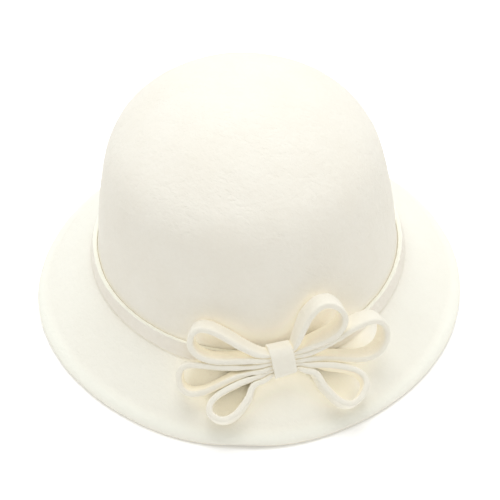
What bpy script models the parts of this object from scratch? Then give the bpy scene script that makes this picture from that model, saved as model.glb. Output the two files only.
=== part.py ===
"""Blocked felt hat with a round crown, a short down-turned brim, a band and a six-loop bow.

Metres, +Z up. The hat stands on its brim at z = 0 with its origin under the middle of the brim.
The front, with the bow, faces -Y.
"""

from math import atan2, cos, pi, radians, sin, tanh

import bmesh
import bpy
from mathutils import Vector

# Felt and clearance
FELT = 0.0025
GAP = 0.0003

# Crown, an oval at its foot: half width across X, half length along Y
CROWN_HALF_WIDTH = 0.0872
CROWN_HALF_LENGTH = 0.0990
CROWN_LEAN = 2.5

# Crown profile from the top down: radius of each arc, and how steeply its lower end faces up in degrees
CROWN_ARCS = (
    {"radius": 0.1033, "ends_at": 50.0, "steps": 7},
    {"radius": 0.0406, "ends_at": 13.5, "steps": 4},
    {"radius": 0.2720, "ends_at": CROWN_LEAN, "steps": 4},
)

# Brim: overhang past the crown's foot at the sides and at the front and back
BRIM_SIDE = 0.0389
BRIM_FRONT = 0.0401
BRIM_SLOPE = 39.0
BRIM_POWER = 1.94
BREAK_RADIUS = 0.018

# Hem: the brim's edge turned under, its stitched groove on top
HEM_THICK = 0.0046
HEM_WIDTH = 0.0075
HEM_SINK = 0.0002
GROOVE_WIDTH = 0.0024
GROOVE_DEPTH = 0.0006

# Band round the crown's foot, from and to these directions on the break's curve in degrees
BAND_THICK = 0.0018
BAND_TOP_ANGLE = 17.5
BAND_FOOT_ANGLE = 51.0

# Knot of the bow: its middle, the way it faces, and its own turn
KNOT_CENTRE = Vector((0.0065, -0.1110, 0.0400))
KNOT_AZIMUTH = 6.9
KNOT_ELEVATION = 16.1
KNOT_ROLL = 5.2
KNOT_WIDTH = 0.0130
KNOT_THICK = 0.0015
KNOT_CORNER = 0.0024
KNOT_INNER_CORNER = 0.0008

# Felt strip of the loops: its width stands out from the hat
STRIP_WIDTH = 0.0120
STRIP_THICK = 0.0030
PINCHED_WIDTH = 0.0106
PINCHED_THICK = 0.00195
PINCH_LENGTH = 0.009
RUN_OFFSET = 0.00115
RUN_GAP = 0.0006
LAYER_PITCH = 0.0046
NECK = 0.0020

# One row for each loop. side: -1 left, 1 right. layer: its place in the knot. azimuth and elevation: the
# way the strip's width faces at the tip. rise: the loop's way up from sideways. length: from the knot's
# side to the tip. bulge: how far the upper and the lower run swing out, and waist: how late they do so.
# sag: how far the tip bends up. flare: how much the runs splay.
LOOPS = (
    {"name": "upper_left", "side": -1, "layer": 1, "azimuth": -10.1, "elevation": 21.8, "rise": 5.8,
     "length": 0.0432, "bulge": (0.0089, 0.0069), "waist": (2.9, 2.5), "sag": 0.0049, "flare": 0.01},
    {"name": "middle_left", "side": -1, "layer": 0, "azimuth": -10.1, "elevation": 31.6, "rise": -14.5,
     "length": 0.0506, "bulge": (0.0081, 0.0069), "waist": (5.8, 3.8), "sag": 0.0007, "flare": -0.09},
    {"name": "lower_left", "side": -1, "layer": -1, "azimuth": -2.2, "elevation": 50.2, "rise": -36.9,
     "length": 0.0415, "bulge": (0.0059, 0.0074), "waist": (3.4, 3.8), "sag": 0.0018, "flare": 0.07},
    {"name": "upper_right", "side": 1, "layer": 1, "azimuth": 8.3, "elevation": 11.2, "rise": 33.2,
     "length": 0.0351, "bulge": (0.0105, 0.0083), "waist": (1.6, 2.0), "sag": 0.0022, "flare": -0.05},
    {"name": "middle_right", "side": 1, "layer": 0, "azimuth": 13.9, "elevation": 14.2, "rise": -5.7,
     "length": 0.0539, "bulge": (0.0112, 0.0103), "waist": (3.0, 3.1), "sag": 0.0046, "flare": 0.03},
    {"name": "lower_right", "side": 1, "layer": -1, "azimuth": 8.2, "elevation": 51.3, "rise": -35.6,
     "length": 0.0416, "bulge": (0.0072, 0.0111), "waist": (2.9, 4.0), "sag": 0.0006, "flare": 0.00},
)

# Facets
AROUND = 60
LOOP_STEPS = 26

# Finish: colour, roughness
FELT_FINISH = ((0.86, 0.83, 0.74), 0.95)
TRIM_FINISH = ((0.88, 0.85, 0.77), 0.95)


def clear_scene():
    for thing in list(bpy.data.objects):
        bpy.data.objects.remove(thing, do_unlink=True)


def felt_material(name, finish):
    colour, roughness = finish
    material = bpy.data.materials.new(name)
    material.use_nodes = True
    shader = material.node_tree.nodes["Principled BSDF"]
    shader.inputs["Base Color"].default_value = (*colour, 1.0)
    shader.inputs["Roughness"].default_value = roughness
    shader.inputs["Metallic"].default_value = 0.0
    return material


def add_object(name, mesh_builder, finish, parent):
    mesh = bpy.data.meshes.new(name)
    bmesh.ops.recalc_face_normals(mesh_builder, faces=mesh_builder.faces)
    mesh_builder.to_mesh(mesh)
    mesh_builder.free()
    mesh.shade_smooth()
    mesh.set_sharp_from_angle(angle=radians(40))
    thing = bpy.data.objects.new(name, mesh)
    bpy.context.scene.collection.objects.link(thing)
    thing.data.materials.append(felt_material(name + "_felt", finish))
    thing.parent = parent
    return thing


def bridge_sections(builder, sections, closed):
    """Join equal rings of vertices, and cap the ends of an open run."""
    rings = [[builder.verts.new(point) for point in section] for section in sections]
    pairs = list(zip(rings, rings[1:]))
    if closed:
        pairs.append((rings[-1], rings[0]))
    for ring, other in pairs:
        for index in range(len(ring)):
            after = (index + 1) % len(ring)
            builder.faces.new((ring[index], ring[after], other[after], other[index]))
    if not closed:
        builder.faces.new(rings[0])
        builder.faces.new(reversed(rings[-1]))


def oval(half_width, half_length, power, height):
    """A ring of points round the hat at one height; power 2 is an ellipse."""
    points = []
    for step in range(AROUND):
        angle = 2 * pi * step / AROUND
        across = cos(angle)
        along = sin(angle)
        reach = (abs(across) ** power + abs(along) ** power) ** (-1 / power)
        points.append(Vector((half_width * across * reach, half_length * along * reach, height)))
    return points


class Profile:
    """Points of the hat's outer outline from the top down, as (crown radius, overhang, height, facing)."""

    def __init__(self):
        self.slope_facing = radians(90 - BRIM_SLOPE)
        self.nose_radius = HEM_THICK / 2
        self.nose_overhang = BRIM_SIDE - self.nose_radius
        self.nose_height = self.nose_radius - HEM_SINK
        lean = radians(CROWN_LEAN)
        turned = BREAK_RADIUS * (cos(lean) - cos(self.slope_facing))
        slope_end = self.nose_overhang + self.nose_radius * cos(self.slope_facing)
        self.slope_length = (slope_end - turned) / sin(self.slope_facing)
        slope_end_height = self.nose_height + self.nose_radius * sin(self.slope_facing)
        break_foot = slope_end_height + self.slope_length * cos(self.slope_facing)
        self.break_top = break_foot + BREAK_RADIUS * (sin(self.slope_facing) - sin(lean))

    def crown(self):
        """The three arcs of the crown, from the rim of its top cap down to the break."""
        points = []
        facing = radians(90)
        radius = 0.0
        height = self.crown_height()
        for arc in CROWN_ARCS:
            end = radians(arc["ends_at"])
            for step in range(1, arc["steps"] + 1):
                turn = facing + (end - facing) * step / arc["steps"]
                points.append((radius + arc["radius"] * (cos(turn) - cos(facing)), 0.0,
                               height - arc["radius"] * (sin(facing) - sin(turn)), turn))
            radius, _, height, facing = points[-1]
        return points

    def crown_height(self):
        drop = 0.0
        facing = radians(90)
        for arc in CROWN_ARCS:
            end = radians(arc["ends_at"])
            drop += arc["radius"] * (sin(facing) - sin(end))
            facing = end
        return self.break_top + drop

    def foot_radius(self):
        return self.crown()[-1][0]

    def on_break(self, facing):
        """A point of the curve between crown and brim."""
        lean = radians(CROWN_LEAN)
        overhang = BREAK_RADIUS * (cos(lean) - cos(facing))
        height = self.break_top - BREAK_RADIUS * (sin(facing) - sin(lean))
        return (self.foot_radius(), overhang, height, facing)

    def break_curve(self, steps):
        lean = radians(CROWN_LEAN)
        span = self.slope_facing - lean
        return [self.on_break(lean + span * step / steps) for step in range(1, steps + 1)]

    def on_slope(self, distance, inset=0.0):
        """A point of the brim this far down from the break, sunk by inset."""
        radius, overhang, height, facing = self.on_break(self.slope_facing)
        return (radius, overhang + distance * sin(facing) - inset * cos(facing),
                height - distance * cos(facing) - inset * sin(facing), facing)

    def on_nose(self, facing):
        """A point of the hem's rounded edge."""
        return (self.foot_radius(), self.nose_overhang + self.nose_radius * cos(facing),
                self.nose_height + self.nose_radius * sin(facing), facing)


def ring_at(point, inset=0.0):
    """The hat's oval ring at a profile point, moved inwards square to the surface by inset."""
    radius, overhang, height, facing = point
    shift = inset * cos(facing)
    power = 2.0 - (2.0 - BRIM_POWER) * max(0.0, overhang) / BRIM_SIDE
    half_width = radius + overhang - shift
    half_length = radius * CROWN_HALF_LENGTH / CROWN_HALF_WIDTH + overhang * BRIM_FRONT / BRIM_SIDE - shift
    return oval(half_width, half_length, power, height - inset * sin(facing))


def felt_body(profile, parent):
    """Crown and brim in one felt wall, hollow and open below, with a doubled edge."""
    crown = profile.crown()
    bend = profile.break_curve(5)
    groove_middle = profile.slope_length + profile.nose_radius - HEM_WIDTH
    groove = [profile.on_slope(groove_middle - GROOVE_WIDTH / 2),
              profile.on_slope(groove_middle, GROOVE_DEPTH),
              profile.on_slope(groove_middle + GROOVE_WIDTH / 2)]
    flat_half_angle = atan2(profile.nose_height, (profile.nose_radius ** 2 - profile.nose_height ** 2) ** 0.5)
    nose_start = profile.slope_facing
    nose = [profile.on_nose(nose_start - (nose_start + flat_half_angle) * step / 4) for step in range(5)]
    under_facing = profile.slope_facing - pi
    flat_end = profile.on_nose(flat_half_angle - pi)
    hem_under = profile.on_nose(under_facing)
    outer = [ring_at(point) for point in crown + bend + groove + nose + [flat_end, hem_under]]
    hem_back = profile.on_slope(groove_middle)
    inner = [ring_at(hem_back, HEM_THICK), ring_at(profile.on_slope(groove_middle - FELT / 2), FELT)]
    inner += [ring_at(point, FELT) for point in reversed(bend)]
    inner += [ring_at(point, FELT) for point in reversed(crown)]

    builder = bmesh.new()
    rings = [[builder.verts.new(point) for point in section] for section in outer + inner]
    for ring, other in zip(rings, rings[1:]):
        for index in range(AROUND):
            after = (index + 1) % AROUND
            builder.faces.new((ring[index], other[index], other[after], ring[after]))
    for ring, height in ((rings[0], profile.crown_height()), (rings[-1], profile.crown_height() - FELT)):
        top = builder.verts.new((0.0, 0.0, height))
        for index in range(AROUND):
            builder.faces.new((top, ring[index], ring[(index + 1) % AROUND]))
    return add_object("felt_body", builder, FELT_FINISH, parent)


def felt_band(profile, parent):
    """Strip that lies in the break all round the crown."""
    start = radians(BAND_TOP_ANGLE)
    span = radians(BAND_FOOT_ANGLE) - start
    steps = 3
    points = [profile.on_break(start + span * step / steps) for step in range(steps + 1)]
    near = [ring_at(point, -GAP) for point in points]
    far = [ring_at(point, -GAP - BAND_THICK) for point in reversed(points)]
    loops = near + far
    sections = [[loop[index] for loop in loops] for index in range(AROUND)]
    builder = bmesh.new()
    bridge_sections(builder, sections, closed=True)
    return add_object("felt_band", builder, TRIM_FINISH, parent)


def facing_axes(azimuth, elevation, roll=0.0):
    """Outward, rightward and upward unit vectors of something that faces this way from the front."""
    azimuth, elevation, roll = radians(azimuth), radians(elevation), radians(roll)
    outward = Vector((sin(azimuth) * cos(elevation), -cos(azimuth) * cos(elevation), sin(elevation)))
    level = Vector((cos(azimuth), sin(azimuth), 0.0))
    steep = outward.cross(level)
    return outward, level * cos(roll) + steep * sin(roll), steep * cos(roll) - level * sin(roll)


def smooth(share):
    share = min(1.0, max(0.0, share))
    return share * share * (3 - 2 * share)


def swing(turn, waist):
    """How far a run has swung out at this turn of the loop, from -1 to 1."""
    peak = 2 * cos(peak_half_turn(waist)) * sin(peak_half_turn(waist)) ** (waist + 1)
    return sin(turn) * abs(sin(turn / 2)) ** waist / peak


def peak_half_turn(waist):
    """Half the turn at which the run is widest."""
    return atan2((waist + 1) ** 0.5, 1.0)


def loop_path(row):
    """Middle, facing, spread and share opened of each section, relative to the knot's middle."""
    knot_out, knot_right, knot_up = facing_axes(KNOT_AZIMUTH, KNOT_ELEVATION, KNOT_ROLL)
    outward, level, steep = facing_axes(row["azimuth"], row["elevation"])
    rise = radians(row["rise"])
    leave = knot_right * row["side"]
    sideways = level * row["side"]
    along = sideways * cos(rise) + steep * sin(rise)
    across = steep * cos(rise) - sideways * sin(rise)
    root = leave * KNOT_WIDTH / 2 + knot_up * LAYER_PITCH * row["layer"]
    through = leave * (KNOT_WIDTH - GAP) / 2

    path = []
    for step in range(LOOP_STEPS + 1):
        turn = 2 * pi * step / LOOP_STEPS
        reach = row["length"] * (1 - cos(turn)) / 2
        neck = NECK * tanh(reach / NECK)
        run = 0 if turn < pi else 1
        swung = row["bulge"][run] * swing(turn, row["waist"][run])
        swung += row["sag"] * (reach / row["length"]) ** 2
        spread = smooth(reach / (0.5 * row["length"]))
        turned = tanh(reach / NECK) ** 2
        stacked = knot_up.lerp(across, turned).normalized() * RUN_OFFSET * cos(turn / 2)
        middle = root + leave * neck + along * (reach - neck) + across * swung + stacked
        facing = knot_out.lerp(outward, spread) - across * row["flare"] * sin(turn) * spread
        path.append((middle, facing, spread, smooth(reach / PINCH_LENGTH)))
    first, last = path[0], path[-1]
    return [(first[0] - through, *first[1:])] + path + [(last[0] - through, *last[1:])]


def loop_sections(row):
    """Cross-sections of one loop: near the knot the felt is only as thick as its two runs leave room for."""
    path = loop_path(row)
    last = len(path) - 1
    frames = []
    for step, (middle, facing, spread, opened) in enumerate(path):
        tangent = (path[min(step + 1, last)][0] - path[max(step - 1, 0)][0]).normalized()
        width = (facing - tangent * facing.dot(tangent) * spread).normalized()
        half_width = (PINCHED_WIDTH + (STRIP_WIDTH - PINCHED_WIDTH) * opened) / 2
        frames.append((middle, width, width.cross(tangent).normalized(), half_width))

    sections = []
    for step, (middle, width, face, half_width) in enumerate(frames):
        spread, opened = path[step][2:]
        thick = PINCHED_THICK + (STRIP_THICK - PINCHED_THICK) * opened
        if spread < 1.0:
            other_middle, other_width, _, other_half = frames[last - step]
            apart = middle - other_middle
            splay = width * half_width - other_width * other_half
            room = min(abs((apart + end * splay).dot(face)) for end in (-1, 1))
            thick = min(thick, room - RUN_GAP)
        sections.append(strip_section(middle, width, face, half_width, thick))
    return sections


def strip_section(middle, width, face, half_width, thick):
    """Eight points round a strip with softened corners."""
    half_thick = thick / 2
    soft = thick * 0.3
    corners = ((half_width, half_thick - soft), (half_width - soft, half_thick),
               (soft - half_width, half_thick), (-half_width, half_thick - soft),
               (-half_width, soft - half_thick), (soft - half_width, -half_thick),
               (half_width - soft, -half_thick), (half_width, soft - half_thick))
    return [middle + width * out + face * side for out, side in corners]


def bow_loop(row, parent):
    builder = bmesh.new()
    bridge_sections(builder, loop_sections(row), closed=False)
    return add_object("bow_loop_" + row["name"], builder, TRIM_FINISH, parent)


def rounded_outline(half_height, half_depth, corner):
    """A rectangle with cut corners, as (height, depth) pairs."""
    return ((half_height, half_depth - corner), (half_height - corner, half_depth),
            (corner - half_height, half_depth), (-half_height, half_depth - corner),
            (-half_height, corner - half_depth), (corner - half_height, -half_depth),
            (half_height - corner, -half_depth), (half_height, corner - half_depth))


def bow_knot(parent):
    """Felt wrapped round the stacked loops, open where they pass through."""
    knot_out, knot_right, knot_up = facing_axes(KNOT_AZIMUTH, KNOT_ELEVATION, KNOT_ROLL)
    half_height = LAYER_PITCH + RUN_OFFSET + PINCHED_THICK / 2 + GAP
    half_depth = PINCHED_WIDTH / 2 + GAP
    inner = rounded_outline(half_height, half_depth, KNOT_INNER_CORNER)
    outer = rounded_outline(half_height + KNOT_THICK, half_depth + KNOT_THICK, KNOT_CORNER)
    ends = (-KNOT_WIDTH / 2, KNOT_WIDTH / 2)
    sections = []
    for index in range(len(inner)):
        corner = []
        for outline, end in ((outer, ends[0]), (outer, ends[1]), (inner, ends[1]), (inner, ends[0])):
            height, depth = outline[index]
            corner.append(knot_right * end + knot_up * height + knot_out * depth)
        sections.append(corner)
    builder = bmesh.new()
    bridge_sections(builder, sections, closed=True)
    return add_object("bow_knot", builder, TRIM_FINISH, parent)


def main():
    clear_scene()
    hat = bpy.data.objects.new("hat", None)
    bpy.context.scene.collection.objects.link(hat)
    bow = bpy.data.objects.new("bow", None)
    bow.location = KNOT_CENTRE
    bow.parent = hat
    bpy.context.scene.collection.objects.link(bow)

    profile = Profile()
    felt_body(profile, hat)
    felt_band(profile, hat)
    for row in LOOPS:
        bow_loop(row, bow)
    bow_knot(bow)


main()
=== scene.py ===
"""Ivory felt hat with a felt band and a six-loop felt bow, on a pale floor in soft studio light."""

from math import atan2, cos, pi, radians, sin, tanh

import bpy
import numpy as np
from mathutils import Matrix, Vector
from mathutils.bvhtree import BVHTree


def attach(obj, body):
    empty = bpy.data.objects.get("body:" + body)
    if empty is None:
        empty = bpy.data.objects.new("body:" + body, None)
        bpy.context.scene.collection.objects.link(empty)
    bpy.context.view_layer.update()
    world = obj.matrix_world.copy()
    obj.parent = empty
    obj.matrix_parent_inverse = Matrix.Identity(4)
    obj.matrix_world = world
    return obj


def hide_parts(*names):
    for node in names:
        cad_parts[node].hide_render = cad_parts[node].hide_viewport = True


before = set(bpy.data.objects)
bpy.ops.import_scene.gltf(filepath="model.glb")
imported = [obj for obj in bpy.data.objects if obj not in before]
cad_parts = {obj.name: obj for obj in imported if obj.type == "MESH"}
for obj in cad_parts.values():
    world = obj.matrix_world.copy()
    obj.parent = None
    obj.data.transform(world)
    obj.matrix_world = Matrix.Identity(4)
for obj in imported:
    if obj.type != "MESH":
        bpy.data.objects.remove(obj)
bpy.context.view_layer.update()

# Felt wall, and the gap that neighbouring pieces keep, in metres as all sizes here
FELT = 0.0025
GAP = 0.0003

# Crown: half width and half length of the oval at its foot, and the lean of its side in degrees
CROWN_HALF_WIDTH = 0.0872
CROWN_HALF_LENGTH = 0.0990
CROWN_LEAN = 2.5

# Crown's profile from the top down: each arc's radius, the facing of its lower end in degrees, its steps
CROWN_ARCS = (
    {"radius": 0.1033, "ends_at": 50.0, "outer_steps": 20, "inner_steps": 12},
    {"radius": 0.0406, "ends_at": 13.5, "outer_steps": 10, "inner_steps": 6},
    {"radius": 0.2720, "ends_at": CROWN_LEAN, "outer_steps": 14, "inner_steps": 8},
)

# Brim: overhang past the crown's foot, slope down from level in degrees, and power of its oval outline
BRIM_SIDE = 0.0389
BRIM_FRONT = 0.0401
BRIM_SLOPE = 39.0
BRIM_POWER = 1.94
BREAK_RADIUS = 0.018

# Brim's edge: a lift at the front, left of the middle, with angles in radians, and a slight wave all round
FRONT_LIFT = 0.0015
LIFT_AT = radians(-97.0)
LIFT_WIDTH = 0.13
BRIM_WAVE = 0.00012
BRIM_WAVE_PHASES = (0.7, 2.1)

# Hem: the felt turned under along the brim's edge, sunk a little so that it rests on a flat foot
HEM_THICK = 0.0046
HEM_WIDTH = 0.0075
HEM_SINK = 0.0002
HEM_EDGE_ROUND = 0.0006
INSIDE_BEFORE_HEM = 0.0012

# Cut edge under the hem, corner by corner: how far out from the hem's start, and up from its underside
CUT_EDGE = (
    {"out": 0.0002, "up": 0.0002},
    {"out": 0.0, "up": 0.0008},
    {"out": 0.0, "up": 0.0016},
    {"out": -0.0003, "up": 0.0020},
)

# Puff and groove of the hem, placed by the way past the start of the hem's roll
HEM_ROLL = 0.0092
HEM_PUFF = 0.00080
HEM_DENT = 0.00003
PUFF_SWAY = 0.3
PUFF_RISES = (-0.0025, 0.0040)
PUFF_FALLS = (HEM_ROLL, HEM_ROLL - 0.0045)
GROOVE_DEPTH = 0.00005
GROOVE_SPREAD = 0.0022
GROOVE_SWAY = 0.25
GROOVE_DENTS = 0.35

# Painted light on the brim: how much brighter the brim and its edge are painted, as a painted highlight,
# and how much darker the nose of the hem is painted, as painted shade
BRIM_PAINTED_LIGHT = 0.45
BRIM_LIT = (0.0, 0.012)
EDGE_PAINTED_LIGHT = 0.8
EDGE_LIT = (-0.001, 0.004)
EDGE_FADES = (HEM_ROLL, HEM_ROLL - 0.0030)
NOSE_SHADE_STARTS = (HEM_ROLL - 0.0016, HEM_ROLL)
NOSE_SHADE_ENDS = (HEM_ROLL + 0.0013, HEM_ROLL)
NOSE_SHADE_ALL_ROUND = 0.25

# Rings of the hat's mesh: points in each, four times as many on the hem, and steps from ring to ring
COARSE = 336
FINER = 4
FINE = FINER * COARSE
FINE_BEFORE_HEM = 0.0055
BREAK_STEPS = 11
SLOPE_STEPS = 12
HEM_STEPS = 20
NOSE_STEPS = 14
TURNED_STEPS = 5
INNER_BREAK_STEPS = 8

# Band: a strip that stands nearly straight in the break, its foot lower at the front than at the sides
BAND_THICK = 0.0018
BAND_TOP_ANGLE = 17.5
BAND_FOOT_ANGLE = 51.0
BAND_SIDE_FOOT_ANGLE = 41.0
BAND_SIDE_POWER = 1.2
BAND_STAND = 0.0008
BAND_FOOT_THICK = 0.0012
BAND_CORNER = 0.00035
BAND_CORNER_TURNS = (30, 60, 90)
BAND_BACK_GAP = 0.00008
BAND_BACK_CORNER = 0.6 * BAND_CORNER
BAND_STEPS = 14
BAND_BACK_STEPS = 12
BAND_COLUMNS = 960

# Unevenness of the band's face and of its edges, and the stretch that the knot holds flat
BAND_UNEVEN = 0.04
BAND_SWAY = 0.00010
BAND_EDGE_UNEVEN = 0.00008
BAND_EDGE_SWAY = 0.00022
BAND_HELD_WIDTH = 0.014
BAND_HELD_SPARE = 0.0001

# Band's cut top edge, slightly domed: share of the way across, and height in corner radii
BAND_DOME = (
    {"across": 0.25, "up": 1.1},
    {"across": 0.5, "up": 1.15},
    {"across": 0.75, "up": 1.1},
)

# Knot of the bow: its middle, the way it faces and its own turn in degrees, and its felt
KNOT_CENTRE = np.array((0.0065, -0.1110, 0.0400))
KNOT_AZIMUTH = 6.9
KNOT_ELEVATION = 16.1
KNOT_ROLL = 5.2
KNOT_WIDTH = 0.0130
KNOT_THICK = 0.0015
KNOT_TAPER = 0.10
KNOT_CORNER = 0.0028
KNOT_SLACK = 0.4 * GAP
KNOT_EDGE_ROUND = 0.0006
KNOT_BELLY = 0.0004
KNOT_BULGE = 0.0009
KNOT_LUMP = 0.00008
KNOT_GRAIN = 0.00003

# Felt strip of the loops, its width standing out from the hat, with its rounding, lumps and grain
STRIP_WIDTH = 0.0120
STRIP_THICK = 0.0030
STRIP_ROUND = 0.74
STRIP_LUMP = 0.00012
STRIP_GRAIN = 0.00005
STRIP_STEPS = 180

# The strip where the knot pinches it, and the length over which it opens to its full size
PINCHED_WIDTH = 0.0106
PINCHED_THICK = 0.00195
PINCHED_ROUGHNESS = 0.35
PINCHED_SWELL = 0.5
PINCH_LENGTH = 0.009
SWELL = 0.00045

# Way of a loop out of the knot: its layer, its straight neck, and how its two runs lie there
LAYER_PITCH = 0.0046
NECK = 0.0020
RUN_OFFSET = 0.00115
RUN_GAP = 0.0001
SPREAD_BY = 0.5
INSIDE_KNOT = (0.33, 0.66, 1.0)

# Back of a loop: how far it may come out to rest on the felt behind it, and how far where nothing is near
REST_GAP = 0.0003
MOST_BACK = 0.0035
FREE_BACK = 0.0012
REST_SPREAD = 4

# Points round a section: in each corner, and along its wide and its thick sides
STRIP_POINTS = {"corner_steps": 4, "wide_steps": 5, "thick_steps": 0}
KNOT_SECTION_POINTS = {"corner_steps": 4, "wide_steps": 9, "thick_steps": 0}
KNOT_PATH_POINTS = {"corner_steps": 8, "wide_steps": 12, "thick_steps": 8}

# Loops of the bow, one row for each
# side: -1 left, 1 right
# layer: its place in the knot
# azimuth, elevation: the way the strip's width faces at the tip, in degrees
# rise: the loop's way up from sideways, in degrees
# length: from the knot's side to the tip
# bulge, waist: how far the upper and the lower run swing out, and how late they do so
# sag: how far the tip bends up
# flare: how much the runs splay
# closing_run: the run pressed against the other one near the knot, 0 upper, 1 lower
# closed: from which reach to which that run lets go
LOOPS = (
    {"name": "upper_left", "side": -1, "layer": 1, "azimuth": -10.1, "elevation": 21.8, "rise": 5.8,
     "length": 0.0432, "bulge": (0.0089, 0.0069), "waist": (2.9, 2.5), "sag": 0.0049, "flare": 0.01,
     "closing_run": 0, "closed": (0.002, 0.011)},
    {"name": "middle_left", "side": -1, "layer": 0, "azimuth": -10.1, "elevation": 31.6, "rise": -14.5,
     "length": 0.0506, "bulge": (0.0081, 0.0069), "waist": (5.8, 3.8), "sag": 0.0007, "flare": -0.09,
     "closing_run": 1, "closed": (0.004, 0.014)},
    {"name": "lower_left", "side": -1, "layer": -1, "azimuth": -2.2, "elevation": 50.2, "rise": -36.9,
     "length": 0.0415, "bulge": (0.0059, 0.0074), "waist": (2.6, 3.0), "sag": 0.0018, "flare": 0.07,
     "closing_run": 1, "closed": (0.009, 0.021)},
    {"name": "upper_right", "side": 1, "layer": 1, "azimuth": 8.3, "elevation": 11.2, "rise": 33.2,
     "length": 0.0351, "bulge": (0.0105, 0.0083), "waist": (1.6, 2.0), "sag": 0.0022, "flare": -0.05,
     "closing_run": 1, "closed": (0.0, 0.001)},
    {"name": "middle_right", "side": 1, "layer": 0, "azimuth": 13.9, "elevation": 14.2, "rise": -5.7,
     "length": 0.0539, "bulge": (0.0112, 0.0103), "waist": (3.0, 3.1), "sag": 0.0046, "flare": 0.03,
     "closing_run": 1, "closed": (0.002, 0.009)},
    {"name": "lower_right", "side": 1, "layer": -1, "azimuth": 8.2, "elevation": 51.3, "rise": -35.6,
     "length": 0.0416, "bulge": (0.0072, 0.0111), "waist": (2.9, 3.2), "sag": 0.0006, "flare": 0.00,
     "closing_run": 1, "closed": (0.006, 0.020)},
)

# Unevenness of the blocked felt: heights of its dents, lumps and grain, and the radius of its smooth top
DENT_HEIGHT = 0.00045
LUMP_HEIGHT = 0.00009
GRAIN_HEIGHT = 0.00003
SMOOTH_TOP = 0.02

# Felt's surface: its roughness and its soft nap
FELT_ROUGHNESS = 0.95
FELT_SPECULAR = 0.15
SHEEN = 0.25
SHEEN_ROUGHNESS = 0.6
SHEEN_TINT = (1.0, 0.97, 0.90, 1.0)

# Felt's colour: its mottling, its painted highlight, painted shade on the hem's nose, and painted shade
# near close surfaces, fading higher up
PATCHES = {"size": 0.030, "detail": 2.0}
SPECKS = {"size": 0.0022, "detail": 4.0, "rough": 0.7}
PATCH_SHARE = 0.6
SPECK_SHARE = 0.4
TONES = (0.30, 0.70)
PAINTED_HIGHLIGHT = (0.95, 0.945, 0.853, 1.0)
NOSE_SHADE_COLOUR = (0.62, 0.60, 0.55, 1.0)
PAINTED_CONTACT_SHADE = (0.60, 0.55, 0.41, 1.0)
CONTACT_OPENNESS = (0.12, 0.52)
CONTACT_FADE_HEIGHTS = (0.038, 0.050)
CONTACT_FADE = 0.6

# Felt's relief: crossed fibres, soft swells, and faint creases on the crown
FIBRE_TURNS = ((0.5, 0.3, 0.7), (-0.6, 0.2, -0.9))
FIBRES = {"size": 0.0012, "detail": 3.0, "stretch": (1.0, 0.22, 1.0)}
SWELLS = {"size": 0.0045, "detail": 3.0}
FIBRE_SHARE = 0.6
FIBRE_RELIEF = 0.40
RELIEF_HEIGHT = 0.001
CREASES = {"size": 0.0026, "detail": 2.0, "turned": (0.0, -0.62, 0.0), "stretch": (0.20, 1.0, 1.0)}
CREASE_RANGE = (0.50, 0.74)
CREASE_PATCHES = {"size": 0.020, "detail": 1.0}
CREASE_PATCH_RANGE = (0.46, 0.60)
CREASE_HEIGHTS = (0.040, 0.060)

# Painted glow in folds, an emission that stands in for light bouncing in and filtering through felt: its
# reach, its colour, and its strength by openness
FOLD_REACH = 0.030
FOLD_COLOUR = (1.0, 0.90, 0.68, 1.0)
FOLD_HEIGHTS = (0.006, 0.016)
UPPER_LIGHT = 0.10
UPPER_HEIGHTS = (0.034, 0.048)
SHELTER_SAMPLES = 8
BODY_GLOW = ((0.10, 0.0), (0.25, 0.3), (0.40, 1.0), (0.55, 0.7), (0.72, 0.35), (0.94, 0.0))
LOOP_GLOW = ((0.02, 0.0), (0.08, 0.6), (0.20, 1.0), (0.34, 0.55), (0.48, 0.12), (0.65, 0.0))

# Finish of each felt; contact is the reach within which nearby surfaces bring painted shade, creases how
# deep its creases are, and glow the strength of its painted fold glow
BODY_FINISH = {"light": (0.893, 0.855, 0.770, 1.0), "deep": (0.868, 0.823, 0.730, 1.0), "glow": 0.21,
               "fold_glow": BODY_GLOW, "contact": 0.0065, "creases": 0.12}
TRIM_FINISH = {"light": (0.905, 0.868, 0.770, 1.0), "deep": (0.880, 0.836, 0.728, 1.0), "glow": 0.25,
               "fold_glow": LOOP_GLOW, "contact": 0.0035, "creases": 0.0}
BAND_FINISH = {"light": (0.885, 0.838, 0.748, 1.0), "deep": (0.860, 0.805, 0.708, 1.0), "glow": 0.05,
               "fold_glow": LOOP_GLOW, "contact": 0.0045, "creases": 0.0}

# Floor: half its size, its shade, and its own faint light, which fades with the distance from the hat
FLOOR_REACH = 6.0
FLOOR_SHADE = (0.94, 0.94, 0.94, 1.0)
FLOOR_LIGHT = {"start": 0.16, "end": 0.42, "at_start": 0.21, "at_end": 0.05}
WHITE = (1.0, 1.0, 1.0, 1.0)

# Studio: light from all round, and soft square lamps over, behind and beside the hat
STUDIO_COLOUR = (0.98, 0.98, 0.958, 1.0)
STUDIO_STRENGTH = 0.67
LAMP_SIZE = 0.8
LAMP_TARGET = Vector((0.0, 0.0, 0.05))
LAMPS = (
    {"name": "overhead", "place": (0.0, 0.0, 1.5), "power": 6.1, "colour": (0.99, 1.0, 1.0)},
    {"name": "behind", "place": (0.0, 0.8, 1.3), "power": 6.4, "colour": (0.92, 1.0, 1.09)},
    {"name": "right", "place": (0.8, 0.0, 1.3), "power": 1.2, "colour": (1.0, 1.0, 1.0)},
)

# Camera: its angles in degrees, its distance, and its focal length in pixels of a picture 500 pixels wide
CAMERA_ELEVATION = 39.88
CAMERA_AZIMUTH = -4.92
CAMERA_ROLL = 2.444
CAMERA_DISTANCE = 1.2004
CAMERA_TARGET = Vector((0.00137, 0.0, 0.026277))
CAMERA_NEAR = 0.05
FOCAL_PIXELS = 2026.9
PICTURE_WIDTH = 500
SENSOR_WIDTH = 36.0


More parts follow.
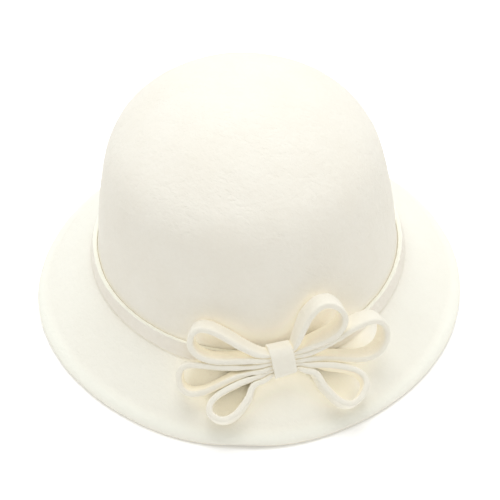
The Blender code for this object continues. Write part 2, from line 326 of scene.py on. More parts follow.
def waves(seed, count, shortest, longest):
    """A smooth field without repeats: the sum of waves in seeded directions, about -1 to 1."""
    rng = np.random.RandomState(seed)
    directions = rng.normal(size=(count, 3))
    directions /= np.linalg.norm(directions, axis=1)[:, None]
    lengths = np.exp(rng.uniform(np.log(shortest), np.log(longest), count))
    phases = rng.uniform(0, 2 * pi, count)
    vectors = directions * (2 * pi / lengths)[:, None]
    usual_peak = 1.6

    def field(points):
        return np.sin(points @ vectors.T + phases).sum(axis=-1) / (count / 2) ** 0.5 / usual_peak
    return field


# Fields of unevenness, each of its own seed
DENTS = waves(seed=11, count=16, shortest=0.055, longest=0.150)
LUMPS = waves(seed=12, count=40, shortest=0.010, longest=0.028)
GRAIN = waves(seed=13, count=60, shortest=0.003, longest=0.008)
BAND_EDGE_WAVES = waves(seed=21, count=40, shortest=0.003, longest=0.012)
BAND_SWAY_WAVES = waves(seed=22, count=12, shortest=0.05, longest=0.12)
STRIP_LUMP_WAVES = waves(seed=31, count=40, shortest=0.004, longest=0.012)
STRIP_GRAIN_WAVES = waves(seed=32, count=60, shortest=0.0015, longest=0.004)
HEM_DENT_WAVES = waves(seed=41, count=40, shortest=0.0022, longest=0.0060)
HEM_SWAY_WAVES = waves(seed=42, count=12, shortest=0.030, longest=0.090)


def ramp(value, start, end):
    """Smooth share of the way from start to end, from 0 to 1."""
    share = np.clip((value - start) / (end - start), 0.0, 1.0)
    return share * share * (3 - 2 * share)


def unit(vectors):
    return vectors / np.linalg.norm(vectors, axis=-1, keepdims=True)


def way_ahead(points):
    """The way ahead at each point of a closed ring, from the point before it to the one after."""
    return np.roll(points, -1, axis=0) - np.roll(points, 1, axis=0)


def make_piece(name, points, faces, material, node, painted_shading=None):
    """A mesh that stands for one CAD node, with the painted highlight and painted shade of its points, by
    attribute.
    """
    mesh = bpy.data.meshes.new(name)
    mesh.from_pydata(points.tolist(), [], faces)
    mesh.validate()
    for attribute, values in (painted_shading or {}).items():
        mesh.attributes.new(attribute, "FLOAT", "POINT").data.foreach_set("value", values)
    mesh.shade_smooth()
    mesh.materials.append(material)
    thing = bpy.data.objects.new(name, mesh)
    bpy.context.scene.collection.objects.link(thing)
    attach(thing, "root")
    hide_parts(node)


def grid_faces(rows, columns, wrap_rows):
    """Faces between rings of vertices that close on themselves."""
    faces = []
    for row in range(rows if wrap_rows else rows - 1):
        below = (row + 1) % rows
        for column in range(columns):
            after = (column + 1) % columns
            faces.append((row * columns + column, below * columns + column,
                          below * columns + after, row * columns + after))
    return faces


# Places on the hat's profile that follow from its sizes
SLOPE_FACING = radians(90 - BRIM_SLOPE)
LEAN = radians(CROWN_LEAN)
NOSE_RADIUS = HEM_THICK / 2
NOSE_OVERHANG = BRIM_SIDE - NOSE_RADIUS
NOSE_HEIGHT = NOSE_RADIUS - HEM_SINK
BREAK_OVERHANG = BREAK_RADIUS * (cos(LEAN) - cos(SLOPE_FACING))
SLOPE_LENGTH = (NOSE_OVERHANG + NOSE_RADIUS * cos(SLOPE_FACING) - BREAK_OVERHANG) / sin(SLOPE_FACING)
BREAK_FOOT = NOSE_HEIGHT + NOSE_RADIUS * sin(SLOPE_FACING) + SLOPE_LENGTH * cos(SLOPE_FACING)
BREAK_TOP = BREAK_FOOT + BREAK_RADIUS * (sin(SLOPE_FACING) - sin(LEAN))
HEM_START = SLOPE_LENGTH + NOSE_RADIUS - HEM_WIDTH
ROLL_START = SLOPE_LENGTH + NOSE_RADIUS - HEM_ROLL


def crown_height():
    drop = 0.0
    facing = radians(90)
    for arc in CROWN_ARCS:
        end = radians(arc["ends_at"])
        drop += arc["radius"] * (sin(facing) - sin(end))
        facing = end
    return BREAK_TOP + drop


def crown_outline(steps_column):
    """Profile points (radius, overhang, height, facing) of the crown from the top down, without the top."""
    height = crown_height()
    radius = 0.0
    facing = radians(90)
    points = []
    for arc in CROWN_ARCS:
        end = radians(arc["ends_at"])
        steps = arc[steps_column]
        for step in range(1, steps + 1):
            turn = facing + (end - facing) * step / steps
            points.append((radius + arc["radius"] * (cos(turn) - cos(facing)), 0.0,
                           height - arc["radius"] * (sin(facing) - sin(turn)), turn))
        radius, _, height, facing = points[-1]
    return points


FOOT_RADIUS = crown_outline("outer_steps")[-1][0]


def on_break(facing):
    """A profile point of the curve between crown and brim."""
    overhang = BREAK_RADIUS * (cos(LEAN) - cos(facing))
    height = BREAK_TOP - BREAK_RADIUS * (sin(facing) - sin(LEAN))
    return (FOOT_RADIUS, overhang, height, facing)


def on_slope(distance, inset=0.0):
    """A profile point of the brim this far down from the break, sunk by inset."""
    radius, overhang, height, facing = on_break(SLOPE_FACING)
    return (radius, overhang + distance * sin(facing) - inset * cos(facing),
            height - distance * cos(facing) - inset * sin(facing), facing)


def on_nose(facing):
    """A profile point of the hem's round edge."""
    overhang = NOSE_OVERHANG + NOSE_RADIUS * cos(facing)
    height = NOSE_HEIGHT + NOSE_RADIUS * sin(facing)
    return (FOOT_RADIUS, overhang, height, facing)


def ring(point, inset, columns):
    """Points and outward directions of the hat's oval ring at a profile point."""
    radius, overhang, height, facing = point
    shift = inset * cos(facing)
    half_width = radius + overhang - shift
    half_length = radius * CROWN_HALF_LENGTH / CROWN_HALF_WIDTH + overhang * BRIM_FRONT / BRIM_SIDE - shift
    power = 2.0 - (2.0 - BRIM_POWER) * max(0.0, overhang) / BRIM_SIDE
    angle = 2 * pi * np.arange(columns) / columns
    across = np.cos(angle)
    along = np.sin(angle)
    reach = (np.abs(across) ** power + np.abs(along) ** power) ** (-1 / power)
    level = np.full(columns, height - inset * sin(facing))
    points = np.stack([half_width * across * reach, half_length * along * reach, level], axis=-1)
    ahead = way_ahead(points)
    outward = unit(np.stack([ahead[:, 1], -ahead[:, 0], np.zeros(columns)], axis=-1))
    normals = outward * cos(facing)
    normals[:, 2] += sin(facing)
    return points, normals


def felted(points, normals, share=1.0):
    """The uneven surface of blocked felt: broad soft dents, small lumps and a fine grain."""
    rise = DENT_HEIGHT * DENTS(points) + LUMP_HEIGHT * LUMPS(points) + GRAIN_HEIGHT * GRAIN(points)
    return points + normals * (share * rise)[:, None]


def angle_round(points):
    return np.arctan2(points[:, 1], points[:, 0])


def front_share(points):
    """1 where the brim lifts most, at the front, falling to 0 beside it."""
    return np.exp(-((angle_round(points) - LIFT_AT) / LIFT_WIDTH) ** 2)


def brim_lift(points, overhang):
    """The brim's edge isn't quite level: it lifts at the front and waves a little all round."""
    angle = angle_round(points)
    first, second = BRIM_WAVE_PHASES
    wave = 0.5 + 0.5 * np.sin(2 * angle + first) * np.sin(3 * angle + second)
    return (overhang / BRIM_SIDE) ** 2 * (FRONT_LIFT * front_share(points) + BRIM_WAVE * wave)


def hem_detail(points, past):
    """Height of the hem's groove, its puff and the puckers of its hand sewing."""
    sway = HEM_SWAY_WAVES(points)
    dents = HEM_DENT_WAVES(points)
    uneven = 1 + GROOVE_SWAY * sway + GROOVE_DENTS * dents
    groove = -GROOVE_DEPTH * np.exp(-(past / GROOVE_SPREAD) ** 2) * uneven
    share = ramp(past, *PUFF_RISES) * ramp(past, *PUFF_FALLS)
    return groove + share * (HEM_PUFF * (1 + PUFF_SWAY * sway) + HEM_DENT * dents)


class HatRings:
    """Rings of points down the hat's outside, round its hem and up its inside, with their painted highlight
    and painted shade.
    """

    def __init__(self):
        self.rings = []
        self.edge = []
        self.painted_nose_shade = []

    def add(self, point, inset=0.0, columns=COARSE, past=None):
        """One ring at a profile point. past, given on the hem, is the way past the start of its roll."""
        radius, overhang = point[:2]
        overhang = max(0.0, overhang)
        points, normals = ring(point, inset, columns)
        self.paint(points, overhang, past)
        if past is not None:
            points = points + normals * hem_detail(points, past)[:, None]
        points = felted(points, normals, ramp(radius, 0.0, SMOOTH_TOP))
        points[:, 2] += brim_lift(points, overhang)
        points[:, 2] = np.maximum(points[:, 2], 0.0)
        self.rings.append(points)

    def paint(self, points, overhang, past):
        """Painted highlight towards the brim's edge, and painted shade on the nose of the hem, most at the
        front.
        """
        light = BRIM_PAINTED_LIGHT * ramp(overhang, *BRIM_LIT)
        shade_share = 0.0
        if past is not None:
            light += (EDGE_PAINTED_LIGHT - light) * ramp(past, *EDGE_LIT)
            light *= ramp(past, *EDGE_FADES)
            # painted shade on the nose of the hem, standing in for its shadowed underside
            shade_share = ramp(past, *NOSE_SHADE_STARTS) * ramp(past, *NOSE_SHADE_ENDS)
        self.edge.append(np.full(len(points), light))
        self.painted_nose_shade.append(shade_share * (NOSE_SHADE_ALL_ROUND + (1 - NOSE_SHADE_ALL_ROUND) * front_share(points)))


def add_outside(hat, fine_start):
    """Crown, break and slope, down to where the finer rings start."""
    for point in crown_outline("outer_steps"):
        hat.add(point)
    for step in range(1, BREAK_STEPS + 1):
        hat.add(on_break(LEAN + (SLOPE_FACING - LEAN) * step / BREAK_STEPS))
    for step in range(1, SLOPE_STEPS + 1):
        hat.add(on_slope(fine_start * step / SLOPE_STEPS))


def add_hem(hat, fine_start):
    """The end of the slope, the round nose, and the felt turned under up to its cut edge."""
    for step in range(1, HEM_STEPS + 1):
        distance = fine_start + (SLOPE_LENGTH - fine_start) * step / HEM_STEPS
        hat.add(on_slope(distance), columns=FINE, past=distance - ROLL_START)
    for step in range(1, NOSE_STEPS + 1):
        turn = pi * step / NOSE_STEPS
        distance = SLOPE_LENGTH + NOSE_RADIUS * turn / 2
        hat.add(on_nose(SLOPE_FACING - turn), columns=FINE, past=distance - ROLL_START)
    turned_span = HEM_START + HEM_EDGE_ROUND - SLOPE_LENGTH
    for step in range(1, TURNED_STEPS + 1):
        hat.add(on_slope(SLOPE_LENGTH + turned_span * step / TURNED_STEPS, HEM_THICK), columns=FINE)
    for corner in CUT_EDGE:
        hat.add(on_slope(HEM_START + corner["out"], HEM_THICK - corner["up"]), columns=FINE)


def add_inside(hat):
    """Slope, break and crown again, one wall further in, from the hem up."""
    for step in range(SLOPE_STEPS, -1, -1):
        hat.add(on_slope((HEM_START - INSIDE_BEFORE_HEM) * step / SLOPE_STEPS), FELT)
    for step in range(INNER_BREAK_STEPS - 1, 0, -1):
        hat.add(on_break(LEAN + (SLOPE_FACING - LEAN) * step / INNER_BREAK_STEPS), FELT)
    for point in reversed(crown_outline("inner_steps")):
        hat.add(point, FELT)


def faces_between(start, size, next_start, next_size):
    """Faces between two rings of vertices; where one ring is finer, each face meets four of its steps."""
    if size == next_size:
        return [(start + i, next_start + i, next_start + (i + 1) % size, start + (i + 1) % size)
                for i in range(size)]
    if size < next_size:
        return [(start + i, *(next_start + (FINER * i + k) % next_size for k in range(FINER + 1)),
                 start + (i + 1) % size) for i in range(size)]
    return [(*(start + (FINER * i + k) % size for k in range(FINER, -1, -1)),
             next_start + i, next_start + (i + 1) % next_size) for i in range(next_size)]


def body_mesh():
    """Crown and brim in one felt wall, hollow and open below."""
    hat = HatRings()
    fine_start = HEM_START - FINE_BEFORE_HEM
    add_outside(hat, fine_start)
    add_hem(hat, fine_start)
    add_inside(hat)
    sizes = [len(one) for one in hat.rings]
    starts = [1]
    for size in sizes:
        starts.append(starts[-1] + size)
    inner_top = starts.pop()
    top = crown_height()
    points = np.concatenate([[[0.0, 0.0, top]], *hat.rings, [[0.0, 0.0, top - FELT]]])
    faces = [(0, starts[0] + i, starts[0] + (i + 1) % COARSE) for i in range(COARSE)]
    for index in range(len(sizes) - 1):
        faces += faces_between(starts[index], sizes[index], starts[index + 1], sizes[index + 1])
    faces += [(inner_top, starts[-1] + (i + 1) % COARSE, starts[-1] + i) for i in range(COARSE)]
    # painted highlight and painted shade of each point, for the material
    painted_shading = {"edge": np.concatenate([[0.0], *hat.edge, [0.0]]),
            "painted_nose_shade": np.concatenate([[0.0], *hat.painted_nose_shade, [0.0]])}
    return points, faces, painted_shading


def band_section(foot_angle):
    """The band's outline, from its top outer corner, as (facing, height off the crown, distance down)."""
    start = radians(BAND_TOP_ANGLE)
    end = radians(foot_angle)
    middle = (start + end) / 2
    half = (end - start) / 2
    top_thick = BAND_THICK + GAP + BAND_STAND

    def outer(facing):
        chord = BREAK_RADIUS * (1 - cos(half) / cos(facing - middle))
        rise = (end - facing) / (end - start)
        return BAND_FOOT_THICK + (top_thick - BAND_FOOT_THICK) * rise + chord

    front = [start + (end - start) * step / BAND_STEPS for step in range(BAND_STEPS + 1)]
    back = [end + (start - end) * step / BAND_BACK_STEPS for step in range(1, BAND_BACK_STEPS)]
    turns = [radians(turn) for turn in BAND_CORNER_TURNS]
    foot = outer(end)
    top = outer(start)
    section = [(facing, outer(facing), 0.0) for facing in front]
    section += [(end, foot - BAND_CORNER * (1 - cos(turn)), BAND_CORNER * sin(turn)) for turn in turns]
    section += [(end, foot / 2, BAND_CORNER), (end, BAND_BACK_GAP, BAND_BACK_CORNER)]
    section += [(facing, BAND_BACK_GAP, 0.0) for facing in back]
    section.append((start, BAND_BACK_GAP, -BAND_CORNER))
    section += [(start, top * row["across"], -BAND_CORNER * row["up"]) for row in BAND_DOME]
    section += [(start, top - BAND_CORNER * (1 - cos(turn)), -BAND_CORNER * sin(turn))
                for turn in reversed(turns)]
    return section


def held_by_knot(points):
    """1 at the front, where the knot holds the band flat, falling to 0 beside it."""
    from_knot = (points[:, 0] - KNOT_CENTRE[0]) / BAND_HELD_WIDTH
    return np.exp(-from_knot ** 2) * (points[:, 1] < 0)


def band_ring(front, side, beside):
    """One ring of the band, blended from its section at the front to its section at the sides."""
    facing, height, distance = front
    side_facing, side_height, _ = side
    points, normals = ring(on_break(facing), 0.0, BAND_COLUMNS)
    side_points, side_normals = ring(on_break(side_facing), 0.0, BAND_COLUMNS)
    points = points + (side_points - points) * beside
    normals = unit(normals + (side_normals - normals) * beside)
    offset = height + (side_height - height) * beside[:, 0]
    down = unit(np.cross(way_ahead(points), normals))
    down *= -1 if down[0][2] > 0 else 1
    points = felted(points, normals)
    edge = BAND_EDGE_WAVES(points)
    sway = BAND_SWAY_WAVES(points)
    if height > BAND_BACK_GAP:
        free = offset * (1 + BAND_UNEVEN * edge) + BAND_SWAY * offset / BAND_THICK * (1 + sway)
        flat = np.minimum(offset, BAND_THICK + BAND_HELD_SPARE)
        offset = free + (flat - free) * held_by_knot(points)
    shift = distance + np.sign(distance) * BAND_EDGE_UNEVEN * edge + BAND_EDGE_SWAY * sway
    return points + normals * offset[:, None] + down * shift[:, None]


def band_mesh():
    """The whole band, its cut top edge marked for a painted highlight."""
    angle = 2 * pi * np.arange(BAND_COLUMNS) / BAND_COLUMNS
    beside = ramp(np.abs(np.cos(angle)) ** BAND_SIDE_POWER, 0.0, 1.0)[:, None]
    front_section = band_section(BAND_FOOT_ANGLE)
    side_section = band_section(BAND_SIDE_FOOT_ANGLE)
    rings = [band_ring(front, side, beside) for front, side in zip(front_section, side_section)]
    # share of the band's cut top edge that gets the painted highlight
    cut = [min(1.0, max(0.0, -distance / BAND_CORNER)) for _, _, distance in front_section]
    faces = grid_faces(len(rings), BAND_COLUMNS, True)
    return np.concatenate(rings), faces, {"edge": np.repeat(cut, BAND_COLUMNS)}


def facing_axes(azimuth, elevation, roll=0.0):
    """Outward, rightward and upward unit vectors of something that faces this way from the front."""
    azimuth, elevation, roll = radians(azimuth), radians(elevation), radians(roll)
    outward = np.array((sin(azimuth) * cos(elevation), -cos(azimuth) * cos(elevation), sin(elevation)))
    level = np.array((cos(azimuth), sin(azimuth), 0.0))
    steep = np.cross(outward, level)
    return outward, level * cos(roll) + steep * sin(roll), steep * cos(roll) - level * sin(roll)


def rounded_outline(half_width, half_thick, corner, corner_steps, wide_steps, thick_steps):
    """Points round a section with round corners, as (out, side)."""
    corners = []
    for index, (out, side) in enumerate(((1, 1), (-1, 1), (-1, -1), (1, -1))):
        turns = [pi / 2 * (index + step / corner_steps) for step in range(corner_steps + 1)]
        corners.append([(out * (half_width - corner) + corner * cos(turn),
                         side * (half_thick - corner) + corner * sin(turn)) for turn in turns])
    outline = []
    for index, points in enumerate(corners):
        outline += points
        last = points[-1]
        after = corners[(index + 1) % len(corners)][0]
        steps = (wide_steps, thick_steps)[index % 2] + 1
        outline += [(last[0] + (after[0] - last[0]) * step / steps,
                     last[1] + (after[1] - last[1]) * step / steps) for step in range(1, steps)]
    return outline


def swing(row, run, turn):
    """How far a run has swung out at this turn of the loop."""
    waist = row["waist"][run]
    half = atan2((waist + 1) ** 0.5, 1.0)
    peak = 2 * cos(half) * sin(half) ** (waist + 1)
    return row["bulge"][run] * sin(turn) * abs(sin(turn / 2)) ** waist / peak


def strip_thickness(opened):
    return PINCHED_THICK + (STRIP_THICK - PINCHED_THICK) * opened


def closing(row, run, turn, reach, opened):
    """How far the closing run moves over near the knot, to lie against the loop's other run."""
    if run != row["closing_run"]:
        return 0.0
    closed = 1 - ramp(reach, *row["closed"])
    side = 1 if run == 0 else -1
    between = (swing(row, run, turn) - swing(row, 1 - run, 2 * pi - turn)) * side
    between += 2 * RUN_OFFSET * abs(cos(turn / 2))
    return closed * side * (strip_thickness(opened) + RUN_GAP + SWELL - between)


def loop_path(row):
    """Middle, facing, spread and share opened of each section of a loop's strip."""
    knot_out, knot_right, knot_up = facing_axes(KNOT_AZIMUTH, KNOT_ELEVATION, KNOT_ROLL)
    outward, level, steep = facing_axes(row["azimuth"], row["elevation"])
    rise = radians(row["rise"])
    leave = knot_right * row["side"]
    sideways = level * row["side"]
    along = sideways * cos(rise) + steep * sin(rise)
    across = steep * cos(rise) - sideways * sin(rise)
    root = KNOT_CENTRE + leave * KNOT_WIDTH / 2 + knot_up * LAYER_PITCH * row["layer"]

    path = []
    for step in range(STRIP_STEPS + 1):
        turn = 2 * pi * step / STRIP_STEPS
        reach = row["length"] * (1 - cos(turn)) / 2
        neck = NECK * tanh(reach / NECK)
        run = 0 if turn < pi else 1
        opened = ramp(reach, 0.0, PINCH_LENGTH)
        swung = swing(row, run, turn) + row["sag"] * (reach / row["length"]) ** 2
        swung += closing(row, run, turn, reach, opened)
        spread = ramp(reach, 0.0, SPREAD_BY * row["length"])
        turned = tanh(reach / NECK) ** 2
        stacked = unit(knot_up * (1 - turned) + across * turned) * RUN_OFFSET * cos(turn / 2)
        middle = root + leave * neck + along * (reach - neck) + across * swung + stacked
        facing = knot_out * (1 - spread) + outward * spread - across * row["flare"] * sin(turn) * spread
        path.append((middle, facing, spread, opened))
    through = leave * (KNOT_WIDTH - GAP) / 2
    first, last = path[0], path[-1]
    start = [(first[0] - through * share, *first[1:]) for share in reversed(INSIDE_KNOT)]
    end = [(last[0] - through * share, *last[1:]) for share in INSIDE_KNOT]
    return start + path + end


def strip_sections(path):
    """Middle, width direction, face direction and half width of each section of a strip."""
    last = len(path) - 1
    sections = []
    for step, (middle, facing, spread, opened) in enumerate(path):
        tangent = unit(path[min(step + 1, last)][0] - path[max(step - 1, 0)][0])
        width = unit(facing - tangent * facing.dot(tangent) * spread)
        half_width = (PINCHED_WIDTH + (STRIP_WIDTH - PINCHED_WIDTH) * opened) / 2
        sections.append((middle, width, unit(np.cross(width, tangent)), half_width))
    return sections


def resting(tree, sections):
    """How far each section's back edge comes out, so that the strip rests on the felt behind it."""
    backs = []
    for middle, width, face, half_width in sections:
        room = []
        for side in (-STRIP_THICK / 2, 0.0, STRIP_THICK / 2):
            start = Vector(middle + face * side)
            distance = tree.ray_cast(start, Vector(-width), half_width + MOST_BACK)[3]
            if distance is not None:
                room.append(distance - half_width - REST_GAP)
        backs.append(min(room or [FREE_BACK]))
    window = 2 * REST_SPREAD + 1
    padded = np.pad(backs, 2 * REST_SPREAD, mode="edge")
    least = [padded[at:at + window].min() for at in range(len(padded) - window + 1)]
    return np.convolve(least, np.ones(window) / window, mode="valid")


def room_beside(section, other):
    """Least distance between the middles of two runs, at their front and back edges."""
    middle, width, face, half_width = section
    other_middle, other_width, _, other_half = other
    apart = middle - other_middle
    splay = width * half_width - other_width * other_half
    return min(abs((apart + end * splay).dot(face)) for end in (-1, 1))


def strip_ring(section, opened, thick, back):
    """Points round one section of a strip, its back edge come out by back, with lumps and grain."""
    middle, width, face, half_width = section
    half_thick = thick / 2
    outline = np.array(rounded_outline(half_width + back / 2, half_thick, half_thick * STRIP_ROUND,
                                       **STRIP_POINTS))
    outline[:, 0] -= back / 2
    points = middle + outline[:, :1] * width + outline[:, 1:] * face
    normals = unit(points - points.mean(axis=0))
    rough = PINCHED_ROUGHNESS + (1 - PINCHED_ROUGHNESS) * opened
    lumps = rough * (STRIP_LUMP * STRIP_LUMP_WAVES(points) + STRIP_GRAIN * STRIP_GRAIN_WAVES(points))
    return points + normals * lumps[:, None]


def loop_mesh(row, felt_tree):
    """One loop: a felt strip that is pinched in the knot and rests on the felt behind it."""
    path = loop_path(row)
    sections = strip_sections(path)
    backs = resting(felt_tree, sections)
    last = len(sections) - 1
    rings = []
    for step, section in enumerate(sections):
        spread, opened = path[step][2:]
        swell = SWELL * (PINCHED_SWELL + (1 - PINCHED_SWELL) * opened)
        thick = strip_thickness(opened)
        if spread < 1.0:
            thick = min(thick, room_beside(section, sections[last - step]) - RUN_GAP - swell)
        rings.append(strip_ring(section, opened, thick + swell, backs[step] * opened))
    columns = len(rings[0])
    faces = grid_faces(len(rings), columns, False)
    faces.append(tuple(range(columns)))
    faces.append(tuple(reversed(range(last * columns, (last + 1) * columns))))
    return np.concatenate(rings), faces


def knot_mesh():
    """Felt wrapped round the stacked loops, bulging at the front and a little taller at its left."""
    knot_out, knot_right, knot_up = facing_axes(KNOT_AZIMUTH, KNOT_ELEVATION, KNOT_ROLL)
    half_height = LAYER_PITCH + RUN_OFFSET + PINCHED_THICK / 2 + KNOT_SLACK
    half_depth = PINCHED_WIDTH / 2 + KNOT_SLACK
    path = np.array(rounded_outline(half_height, half_depth, KNOT_CORNER, **KNOT_PATH_POINTS))
    ahead = way_ahead(path)
    out = unit(np.stack([ahead[:, 1], -ahead[:, 0]], axis=-1))
    section = np.array(rounded_outline(KNOT_WIDTH / 2, KNOT_THICK / 2, KNOT_EDGE_ROUND,
                                       **KNOT_SECTION_POINTS))
    wide = section[:, :1]
    belly = KNOT_BELLY * (1 - (wide / (KNOT_WIDTH / 2)) ** 2)
    taller = 1 + KNOT_TAPER * (0.5 - wide / KNOT_WIDTH)
    rings = []
    for (height, depth), (up, forward) in zip(path, out):
        bulge = (belly + KNOT_BULGE * (1 - (height / half_height) ** 2)) * max(0.0, forward)
        off = section[:, 1:] + KNOT_THICK / 2 + bulge
        points = (KNOT_CENTRE + knot_right * wide + knot_up * (height + up * off) * taller
                  + knot_out * (depth + forward * off))
        normals = unit(points - points.mean(axis=0))
        lumps = KNOT_LUMP * STRIP_LUMP_WAVES(points) + KNOT_GRAIN * STRIP_GRAIN_WAVES(points)
        rings.append(points + normals * lumps[:, None])
    return np.concatenate(rings), grid_faces(len(rings), len(section), True)


class Shader:
    """One material. Most calls add a node and give the output of what they add."""

    def __init__(self, name):
        self.material = bpy.data.materials.new(name)
        self.material.use_nodes = True
        self.nodes = self.material.node_tree.nodes
        self.links = self.material.node_tree.links
        self.place = self.nodes.new("ShaderNodeTexCoord").outputs["Object"]

    def give(self, socket, value):
        """Link a socket to another node's output, or set it to a number or a colour."""
        if isinstance(value, bpy.types.NodeSocket):
            self.links.new(value, socket)
        else:
            socket.default_value = value

    def set_surface(self, values):
        """Give the surface's sockets their values, by name."""
        for name, value in values.items():
            self.give(self.nodes["Principled BSDF"].inputs[name], value)

    def height(self):
        node = self.nodes.new("ShaderNodeSeparateXYZ")
        self.give(node.inputs["Vector"], self.place)
        return node.outputs["Z"]

    def distance(self):
        """Distance from the origin."""
        node = self.nodes.new("ShaderNodeVectorMath")
        node.operation = "LENGTH"
        self.give(node.inputs[0], self.place)
        return node.outputs["Value"]

    def math(self, operation, first, second):
        node = self.nodes.new("ShaderNodeMath")
        node.operation = operation
        self.give(node.inputs[0], first)
        self.give(node.inputs[1], second)
        return node.outputs["Value"]

    def ramp(self, value, start, end, at_start=0.0, at_end=1.0):
        """A smooth change from at_start to at_end as the value goes from start to end."""
        node = self.nodes.new("ShaderNodeMapRange")
        node.interpolation_type = "SMOOTHSTEP"
        self.give(node.inputs["From Min"], start)
        self.give(node.inputs["From Max"], end)
        self.give(node.inputs["To Min"], at_start)
        self.give(node.inputs["To Max"], at_end)
        self.give(node.inputs["Value"], value)
        return node.outputs["Result"]

    def mapped(self, source, socket, value):
        node = self.nodes.new("ShaderNodeMapping")
        self.give(node.inputs[socket], value)
        self.give(node.inputs["Vector"], source)
        return node.outputs["Vector"]

    def noise(self, size, detail, rough=0.55, turned=None, stretch=None):
        source = self.place
        if turned:
            source = self.mapped(self.mapped(source, "Rotation", turned), "Scale", stretch)
        node = self.nodes.new("ShaderNodeTexNoise")
        self.give(node.inputs["Scale"], 1.0 / size)
        self.give(node.inputs["Detail"], detail)
        self.give(node.inputs["Roughness"], rough)
        self.give(node.inputs["Vector"], source)
        return node.outputs["Fac"]

    def mix(self, share, first, second):
        node = self.nodes.new("ShaderNodeMix")
        node.data_type = "RGBA"
        self.give(node.inputs["Factor"], share)
        self.give(node.inputs["A"], first)
        self.give(node.inputs["B"], second)
        return node.outputs["Result"]

    def painted(self, attribute):
        node = self.nodes.new("ShaderNodeAttribute")
        node.attribute_name = attribute
        return node.outputs["Fac"]

    def openness(self, reach):
        """1 in the open, falling to 0 where other surfaces stand close all round."""
        node = self.nodes.new("ShaderNodeAmbientOcclusion")
        node.samples = SHELTER_SAMPLES
        self.give(node.inputs["Distance"], reach)
        return node.outputs["AO"]

    def curve(self, value, stops):
        """The value's strength, read from stops of (value, strength)."""
        node = self.nodes.new("ShaderNodeValToRGB")
        elements = node.color_ramp.elements
        while len(elements) < len(stops):
            elements.new(0.5)
        for element, (at, strength) in zip(elements, stops):
            element.position = at
            element.color = (strength, strength, strength, 1.0)
        self.give(node.inputs["Fac"], value)
        return node.outputs["Color"]

    def bump(self, relief, height):
        node = self.nodes.new("ShaderNodeBump")
        self.give(node.inputs["Strength"], 1.0)
        self.give(node.inputs["Distance"], height)
        self.give(node.inputs["Height"], relief)
        return node.outputs["Normal"]


def felt_colour(felt, finish):
    """Mottled ivory, with a painted highlight at edges, painted shade on the hem's nose, and painted shade
    where felt meets felt.
    """
    patches = felt.math("MULTIPLY", felt.noise(**PATCHES), PATCH_SHARE)
    specks = felt.math("MULTIPLY", felt.noise(**SPECKS), SPECK_SHARE)
    tone = felt.ramp(felt.math("ADD", patches, specks), *TONES)
    colour = felt.mix(tone, finish["deep"], finish["light"])
    # painted highlight on the brim, the hem's edge and the band's top edge
    colour = felt.mix(felt.painted("edge"), colour, PAINTED_HIGHLIGHT)
    # painted shade on the hem's nose
    colour = felt.mix(felt.painted("painted_nose_shade"), colour, NOSE_SHADE_COLOUR)
    # painted shade where other surfaces stand close, less of it higher up
    touching = felt.math("SUBTRACT", 1.0, felt.ramp(felt.openness(finish["contact"]), *CONTACT_OPENNESS))
    faded = felt.math("MULTIPLY", felt.ramp(felt.height(), *CONTACT_FADE_HEIGHTS), CONTACT_FADE)
    shaded = felt.math("MULTIPLY", touching, felt.math("SUBTRACT", 1.0, faded))
    return felt.mix(shaded, colour, PAINTED_CONTACT_SHADE)


def felt_relief(felt, finish):
    """Crossed fibres and soft swells, with faint creases across the crown."""
    strands, crossing = (felt.noise(turned=turned, **FIBRES) for turned in FIBRE_TURNS)
    fibres = felt.math("MULTIPLY", felt.math("MAXIMUM", strands, crossing), FIBRE_SHARE * FIBRE_RELIEF)
    relief = felt.math("ADD", fibres, felt.math("MULTIPLY", felt.noise(**SWELLS), FIBRE_RELIEF))
    if finish["creases"]:
        creases = felt.ramp(felt.noise(**CREASES), *CREASE_RANGE)
        patches = felt.ramp(felt.noise(**CREASE_PATCHES), *CREASE_PATCH_RANGE)
        on_crown = felt.ramp(felt.height(), *CREASE_HEIGHTS)
        marks = felt.math("MULTIPLY", felt.math("MULTIPLY", creases, patches), on_crown)
        relief = felt.math("SUBTRACT", relief, felt.math("MULTIPLY", marks, finish["creases"]))
    return felt.bump(relief, RELIEF_HEIGHT)


def painted_fold_glow(felt, finish):
    """Strength of the painted glow in folds, none of it near the floor."""
    upper = felt.math("MULTIPLY", felt.ramp(felt.height(), *UPPER_HEIGHTS), UPPER_LIGHT)
    glow = felt.curve(felt.math("ADD", felt.openness(FOLD_REACH), upper), finish["fold_glow"])
    glow = felt.math("MULTIPLY", glow, felt.ramp(felt.height(), *FOLD_HEIGHTS))
    return felt.math("MULTIPLY", glow, finish["glow"])


def felt_material(name, finish):
    """Pressed wool felt: mottled ivory, crossed fibres, a soft nap, painted highlight and shade, and a
    painted glow in its folds.
    """
    felt = Shader(name)
    felt.set_surface({
        "Base Color": felt_colour(felt, finish),
        "Normal": felt_relief(felt, finish),
        "Roughness": FELT_ROUGHNESS,
        "Specular IOR Level": FELT_SPECULAR,
        "Sheen Weight": SHEEN,
        "Sheen Roughness": SHEEN_ROUGHNESS,
        "Sheen Tint": SHEEN_TINT,
        # painted glow in the folds, a warm emission
        "Emission Color": FOLD_COLOUR,
        "Emission Strength": painted_fold_glow(felt, finish),
    })
    return felt.material


def floor_material():
    """A dull pale floor with a faint light of its own round the hat."""
    floor = Shader("pale_floor")
    floor.set_surface({
        "Base Color": FLOOR_SHADE,
        "Roughness": 1.0,
        "Specular IOR Level": 0.0,
        "Emission Color": WHITE,
        "Emission Strength": floor.ramp(floor.distance(), **FLOOR_LIGHT),
    })
    return floor.material


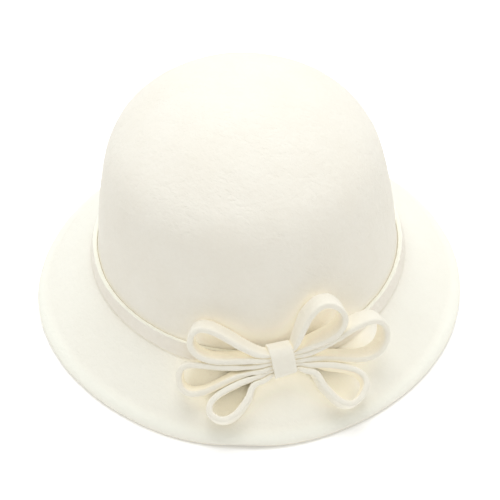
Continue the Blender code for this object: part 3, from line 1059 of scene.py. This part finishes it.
def build_hat():
    """The hat's pieces, each in the place of its CAD node."""
    body_felt = felt_material("ivory_felt", BODY_FINISH)
    trim_felt = felt_material("ivory_trim_felt", TRIM_FINISH)
    band_felt = felt_material("ivory_band_felt", BAND_FINISH)

    body_points, body_faces, body_painted_shading = body_mesh()
    make_piece("hat_felt", body_points, body_faces, body_felt, "felt_body", body_painted_shading)
    band_points, band_faces, band_painted_shading = band_mesh()
    make_piece("hat_band", band_points, band_faces, band_felt, "felt_band", band_painted_shading)

    shifted = [tuple(len(body_points) + corner for corner in face) for face in band_faces]
    felt_tree = BVHTree.FromPolygons(body_points.tolist() + band_points.tolist(), body_faces + shifted)
    for row in LOOPS:
        points, faces = loop_mesh(row, felt_tree)
        make_piece("bow_" + row["name"], points, faces, trim_felt, "bow_loop_" + row["name"])
    points, faces = knot_mesh()
    make_piece("bow_wrap", points, faces, trim_felt, "bow_knot")


def build_floor():
    corners = [(FLOOR_REACH * x, FLOOR_REACH * y, 0.0) for x, y in ((-1, -1), (1, -1), (1, 1), (-1, 1))]
    mesh = bpy.data.meshes.new("floor")
    mesh.from_pydata(corners, [], [(0, 1, 2, 3)])
    mesh.materials.append(floor_material())
    floor = bpy.data.objects.new("floor", mesh)
    bpy.context.scene.collection.objects.link(floor)


def build_studio():
    """Even light from all round, and the soft lamps, each turned towards the hat."""
    world = bpy.data.worlds.new("studio")
    world.use_nodes = True
    background = world.node_tree.nodes["Background"].inputs
    background["Color"].default_value = STUDIO_COLOUR
    background["Strength"].default_value = STUDIO_STRENGTH
    bpy.context.scene.world = world
    for row in LAMPS:
        light = bpy.data.lights.new(row["name"], "AREA")
        light.shape = "SQUARE"
        light.size = LAMP_SIZE
        light.energy = row["power"]
        light.color = row["colour"]
        lamp = bpy.data.objects.new(row["name"], light)
        lamp.location = row["place"]
        lamp.rotation_euler = (LAMP_TARGET - lamp.location).to_track_quat("-Z", "Y").to_euler()
        bpy.context.scene.collection.objects.link(lamp)


def build_camera():
    """A camera that looks at the hat from the front and above, rolled a little."""
    azimuth, elevation, roll = radians(CAMERA_AZIMUTH), radians(CAMERA_ELEVATION), radians(CAMERA_ROLL)
    back = Vector((sin(azimuth) * cos(elevation), -cos(azimuth) * cos(elevation), sin(elevation)))
    right = Vector((cos(azimuth), sin(azimuth), 0.0))
    up = back.cross(right)
    turned_right = right * cos(roll) - up * sin(roll)
    turned_up = right * sin(roll) + up * cos(roll)
    turn = Matrix((turned_right, turned_up, back)).transposed().to_4x4()
    lens = bpy.data.cameras.new("camera")
    lens.sensor_width = SENSOR_WIDTH
    lens.lens = FOCAL_PIXELS / PICTURE_WIDTH * SENSOR_WIDTH
    lens.clip_start = CAMERA_NEAR
    camera = bpy.data.objects.new("camera", lens)
    camera.matrix_world = Matrix.Translation(CAMERA_TARGET + back * CAMERA_DISTANCE) @ turn
    bpy.context.scene.collection.objects.link(camera)
    bpy.context.scene.camera = camera


build_hat()
build_floor()
build_studio()
build_camera()
bpy.context.scene.view_settings.view_transform = "Standard"
